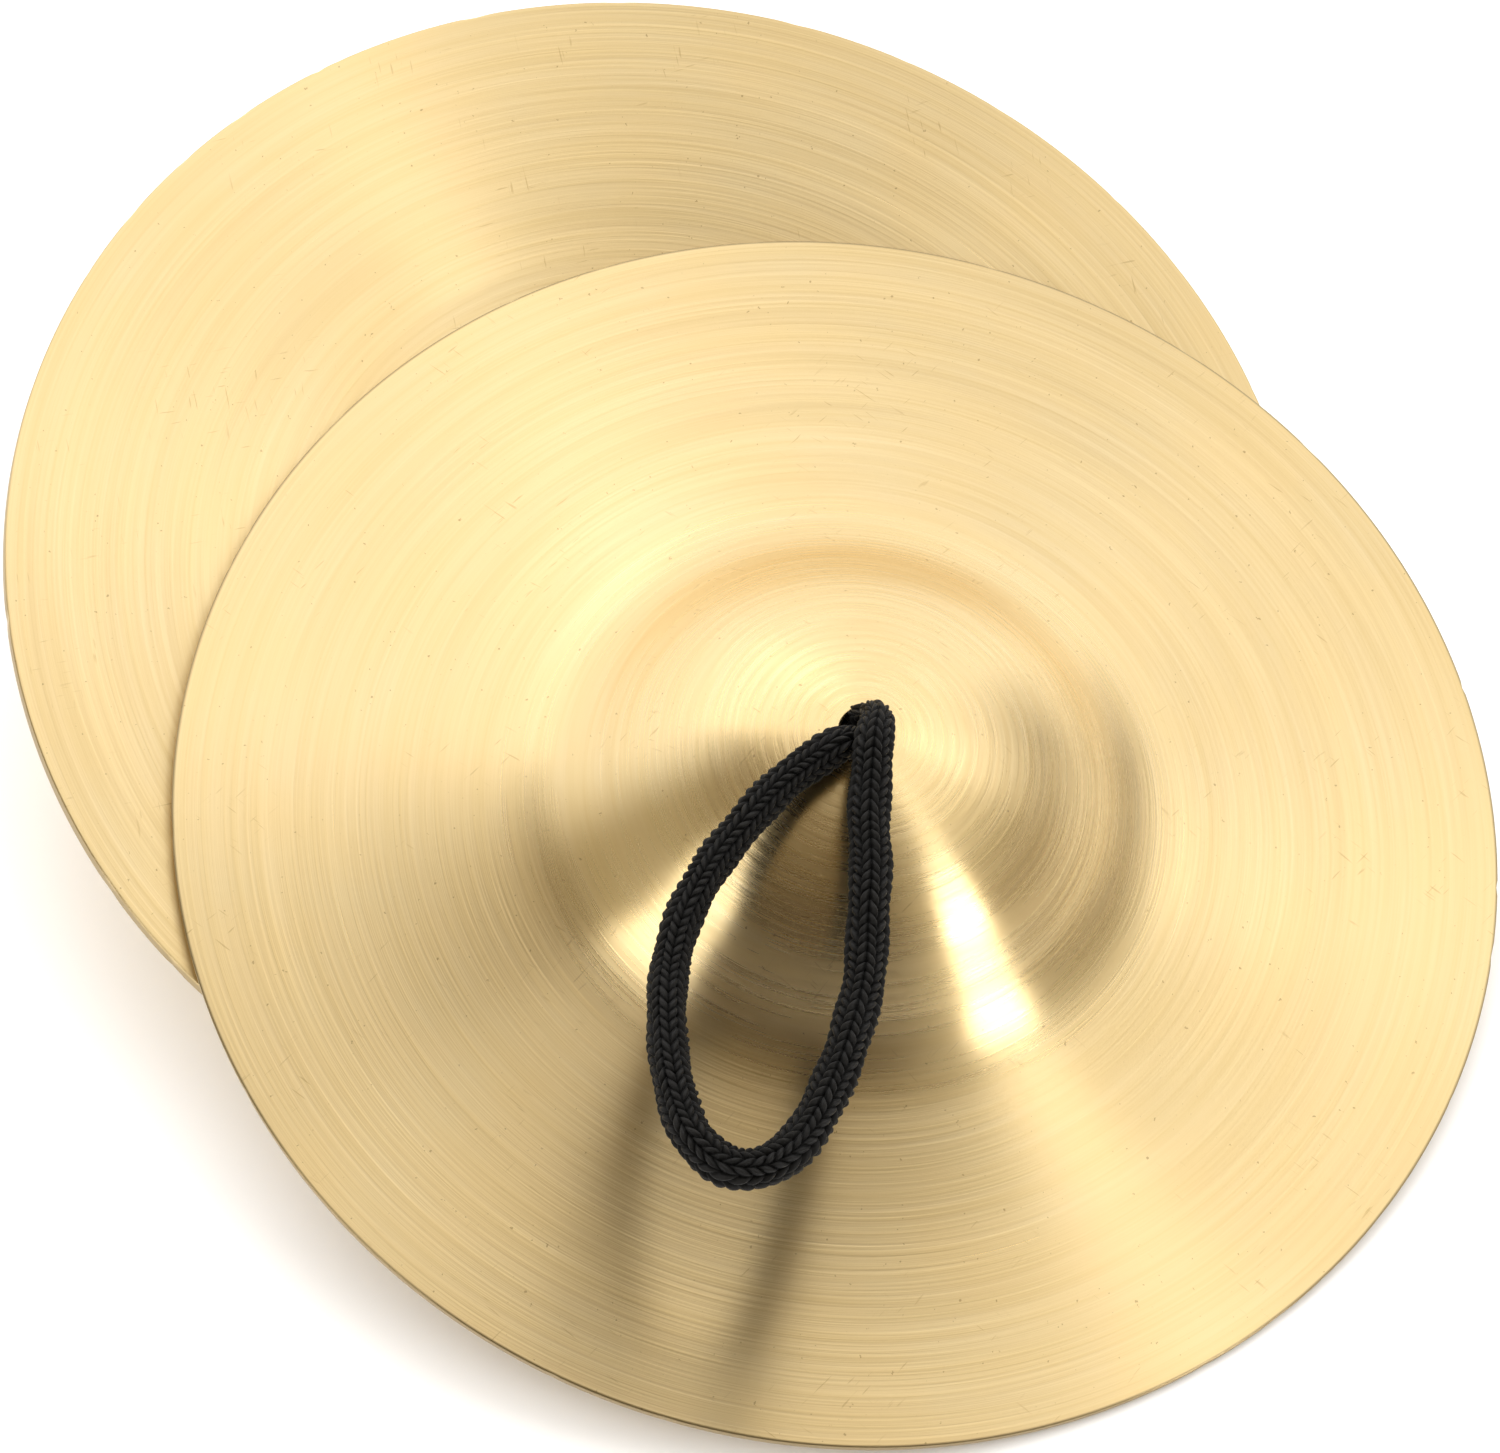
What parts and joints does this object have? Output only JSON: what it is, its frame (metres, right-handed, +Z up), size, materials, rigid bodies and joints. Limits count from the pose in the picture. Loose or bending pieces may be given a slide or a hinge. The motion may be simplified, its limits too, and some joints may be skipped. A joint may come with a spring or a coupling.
{
  "type": "finger cymbals",
  "caption": "Brass finger cymbals with domed bells, laid face to face and slid apart, the upper one with a black knitted finger loop that turns and swings.",
  "frame": {"origin": "middle of the two cymbals' footprint, on the surface they lie on", "axes": "+X from the lower cymbal's centre to the upper cymbal's centre, +Z up"},
  "size_m": [0.11, 0.09, 0.0266],
  "materials": {
    "brass": "spun and lathe-brushed brass, satin to half gloss, with fine circular lines",
    "cord": "black round knitted cord with a fine V stitch, matt with a slight sheen"
  },
  "bodies": {
    "lower_cymbal": {"lower_cymbal": "brass"},
    "upper_cymbal": {"upper_cymbal": "brass"},
    "cord_knot": {"cord_knot": "cord", "cord_neck": "cord"},
    "cord_loop": {"cord_loop": "cord"}
  },
  "joints": [
    {"name": "upper_lift", "type": "slide", "parent": "lower_cymbal", "child": "upper_cymbal", "axis": [0, 0, 1], "range_m": [0, 0.06]},
    {"name": "cord_swivel", "type": "hinge", "parent": "upper_cymbal", "child": "cord_knot", "pos_m": [0.0136, 0, 0.02269], "axis": [0.2046, 0, 0.9789], "continuous": true},
    {"name": "loop_swing", "type": "hinge", "parent": "cord_knot", "child": "cord_loop", "pos_m": [0.01491, -0.0011, 0.02405], "axis": [-0.7159, -0.682, 0.1496], "range_deg": [-15, 90], "deforming": ["cord_loop"]}
  ]
}
